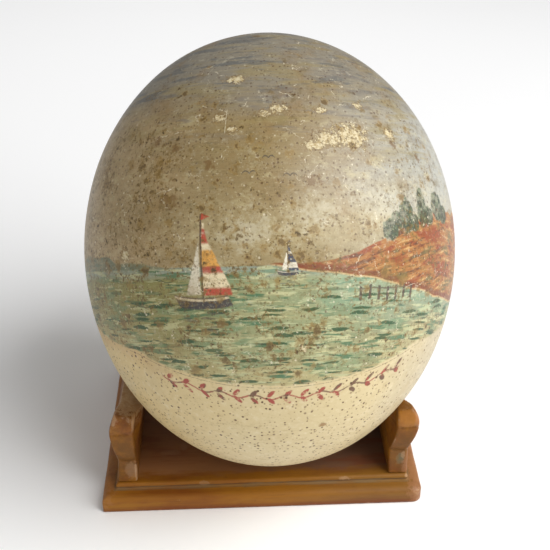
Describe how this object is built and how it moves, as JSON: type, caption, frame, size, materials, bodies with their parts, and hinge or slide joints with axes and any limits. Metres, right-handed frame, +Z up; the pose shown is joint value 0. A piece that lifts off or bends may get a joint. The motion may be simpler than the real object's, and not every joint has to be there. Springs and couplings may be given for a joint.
{
  "type": "ostrich egg on a wooden stand",
  "caption": "Painted ostrich egg leaning back in a low wooden stand, a moulded rectangular base with carved side brackets that cradle the egg.",
  "frame": {"origin": "centre of the base's flat underside", "axes": "+Z up, -Y is the front, where the egg's lower end leans out, and +X is the right side seen from the front"},
  "size_m": [0.13, 0.1365, 0.1562],
  "materials": {
    "egg_shell": "satin",
    "stand_wood": "satin"
  },
  "bodies": {
    "root": {"egg": "egg_shell", "stand_base": "stand_wood", "left_bracket": "stand_wood", "right_bracket": "stand_wood"}
  },
  "joints": []
}
